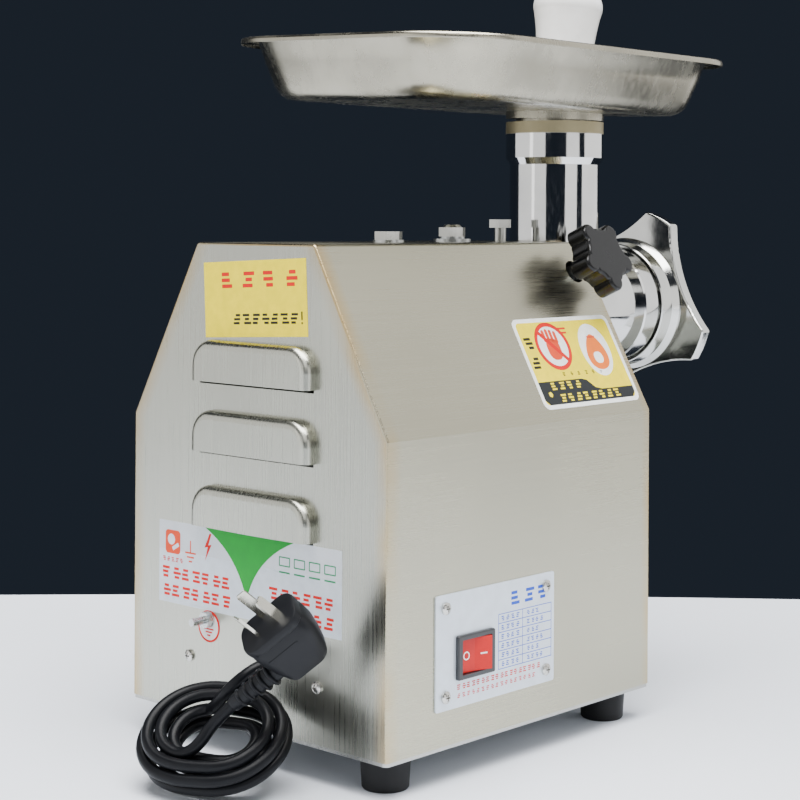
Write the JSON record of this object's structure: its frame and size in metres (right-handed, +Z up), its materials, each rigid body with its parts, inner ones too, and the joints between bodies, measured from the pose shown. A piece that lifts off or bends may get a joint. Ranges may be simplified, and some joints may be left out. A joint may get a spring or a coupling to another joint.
{
  "type": "electric meat grinder",
  "caption": "Countertop electric meat grinder: sheet-steel drive housing with geared motor, cast grinding head, feed pan, pusher and mains cord.",
  "frame": {"origin": "on the surface it stands on, under the middle of the machine", "axes": "+Z up, -Y out of the grinding head's outlet, -X the side with the switch"},
  "size_m": [0.2257, 0.4713, 0.4942],
  "materials": {
    "housing_steel": "brushed stainless sheet",
    "rear_panel_steel": "brushed stainless sheet",
    "base_steel": "plain stainless sheet",
    "black_rubber": "matt black rubber",
    "zinc_steel": "zinc plated",
    "screw_steel": "bright nickel",
    "bolt_steel": "bright zinc",
    "control_print": "printed aluminium-look plate",
    "switch_black": "moulded black",
    "switch_red": "translucent red",
    "warning_print": "printed film",
    "yellow_print": "printed film",
    "wiring_print": "printed film",
    "earth_print": "printed film",
    "cast_aluminium": "as cast",
    "bearing_steel": "ground",
    "seal_rubber": "oiled rubber",
    "gear_steel": "machined and greased",
    "lamination_steel": "stacked laminations",
    "copper_winding": "varnished copper wire",
    "motor_paint": "grey enamel",
    "fan_plastic": "moulded",
    "capacitor_shell": "moulded",
    "terminal_plastic": "moulded",
    "wire_insulation": "insulated wire",
    "brass_pad": "turned",
    "knob_black": "glossy moulded",
    "head_casting": "mirror polished",
    "bush_bronze": "sintered",
    "washer_fibre": "fibre",
    "auger_iron": "tinned",
    "knife_steel": "ground",
    "plate_steel": "ground",
    "ring_casting": "polished",
    "pan_steel": "polished stainless",
    "pusher_white": "moulded white",
    "gland_plastic": "moulded black",
    "cord_rubber": "smooth black rubber",
    "plug_plastic": "moulded black"
  },
  "bodies": {
    "housing": {"housing_shell": "housing_steel", "front_panel": "housing_steel", "rear_panel": "rear_panel_steel", "base_plate": "base_steel", "rubber_feet": "black_rubber", "foot_screws": "zinc_steel", "foot_nuts": "zinc_steel", "panel_screws": "screw_steel", "top_bolts": "bolt_steel", "top_washers": "bolt_steel", "control_plate": "control_print", "switch_housing": "switch_black", "warning_label": "warning_print", "rear_label": "yellow_print", "wiring_label": "wiring_print", "earth_label": "earth_print", "earth_stud": "zinc_steel", "earth_nuts": "zinc_steel", "gearbox_case": "cast_aluminium", "bearing_plate": "cast_aluminium", "gearbox_cover": "cast_aluminium", "gearbox_screws": "zinc_steel", "front_bolts": "zinc_steel", "ball_bearings": "bearing_steel", "oil_seal": "seal_rubber", "stator_core": "lamination_steel", "stator_windings": "copper_winding", "motor_frame": "motor_paint", "motor_end_bell": "cast_aluminium", "motor_cradle": "motor_paint", "motor_hanger": "zinc_steel", "run_capacitor": "capacitor_shell", "terminal_block": "terminal_plastic", "inner_wires": "wire_insulation", "cord_gland": "gland_plastic", "cord_tube": "cord_rubber", "cord_hank": "cord_rubber", "plug": "plug_plastic"},
    "switch_rocker": {"switch_rocker": "switch_red"},
    "lock_pad": {"lock_pad": "brass_pad"},
    "lock_knob": {"lock_screw": "zinc_steel", "lock_knob": "knob_black"},
    "head": {"head_body": "head_casting", "auger_bush": "bush_bronze", "auger_washer": "washer_fibre"},
    "auger": {"auger": "auger_iron", "knife": "knife_steel"},
    "cutting_plate": {"cutting_plate": "plate_steel"},
    "ring_nut": {"ring_nut": "ring_casting"},
    "feed_pan": {"feed_pan": "pan_steel", "pan_spout": "pan_steel"},
    "pusher": {"pusher": "pusher_white"},
    "output": {"output_shaft": "gear_steel", "output_gear": "gear_steel"},
    "intermediate": {"intermediate_shaft": "gear_steel", "intermediate_gear": "gear_steel"},
    "motor_rotor": {"motor_shaft": "gear_steel", "motor_pinion": "gear_steel", "rotor_core": "lamination_steel", "motor_fan": "fan_plastic"}
  },
  "joints": [
    {"name": "rocker_switch", "type": "hinge", "parent": "housing", "child": "switch_rocker", "pos_m": [-0.1085, 0.1134, 0.071], "axis": [0, 0, 1], "range_deg": [0, 20]},
    {"name": "lock_travel", "type": "slide", "parent": "housing", "child": "lock_pad", "axis": [-0.9143, 0, 0.4051], "range_m": [0, 0.0045]},
    {"name": "lock_turn", "type": "hinge", "parent": "lock_pad", "child": "lock_knob", "pos_m": [-0.07314, -0.0443, 0.29441], "axis": [-0.9143, 0, 0.4051], "range_deg": [0, 1080]},
    {"name": "head_slide", "type": "slide", "parent": "housing", "child": "head", "axis": [0, -1, 0], "range_m": [0, 0.055]},
    {"name": "auger_spin", "type": "hinge", "parent": "head", "child": "auger", "pos_m": [0, -0.1226, 0.262], "axis": [0, 1, 0], "continuous": true},
    {"name": "plate_travel", "type": "slide", "parent": "head", "child": "cutting_plate", "axis": [0, -1, 0], "range_m": [0, 0.018]},
    {"name": "ring_nut_turn", "type": "hinge", "parent": "cutting_plate", "child": "ring_nut", "pos_m": [0, -0.1826, 0.262], "axis": [0, -1, 0], "range_deg": [0, 2160]},
    {"name": "pan_lift", "type": "slide", "parent": "head", "child": "feed_pan", "axis": [0, 0, 1], "range_m": [0, 0.04]},
    {"name": "pusher_slide", "type": "slide", "parent": "feed_pan", "child": "pusher", "axis": [0, -0.1184, 0.993], "range_m": [0, 0.15]},
    {"name": "motor_spin", "type": "hinge", "parent": "housing", "child": "motor_rotor", "pos_m": [0, 0.0874, 0.12], "axis": [0, 1, 0], "continuous": true},
    {"name": "intermediate_spin", "type": "hinge", "parent": "housing", "child": "intermediate", "pos_m": [0, 0.0074, 0.215], "axis": [0, 1, 0], "continuous": true},
    {"name": "output_spin", "type": "hinge", "parent": "housing", "child": "output", "pos_m": [0, -0.0126, 0.262], "axis": [0, 1, 0], "continuous": true}
  ],
  "couplings": [
    {"joint": "intermediate_spin", "follows": "motor_spin", "ratio": -0.33803},
    {"joint": "output_spin", "follows": "motor_spin", "ratio": 0.12925},
    {"joint": "auger_spin", "follows": "motor_spin", "ratio": 0.12925},
    {"joint": "lock_travel", "follows": "lock_turn", "m_per_rad": 0.00023873},
    {"joint": "plate_travel", "follows": "ring_nut_turn", "m_per_rad": 0.00047746}
  ]
}
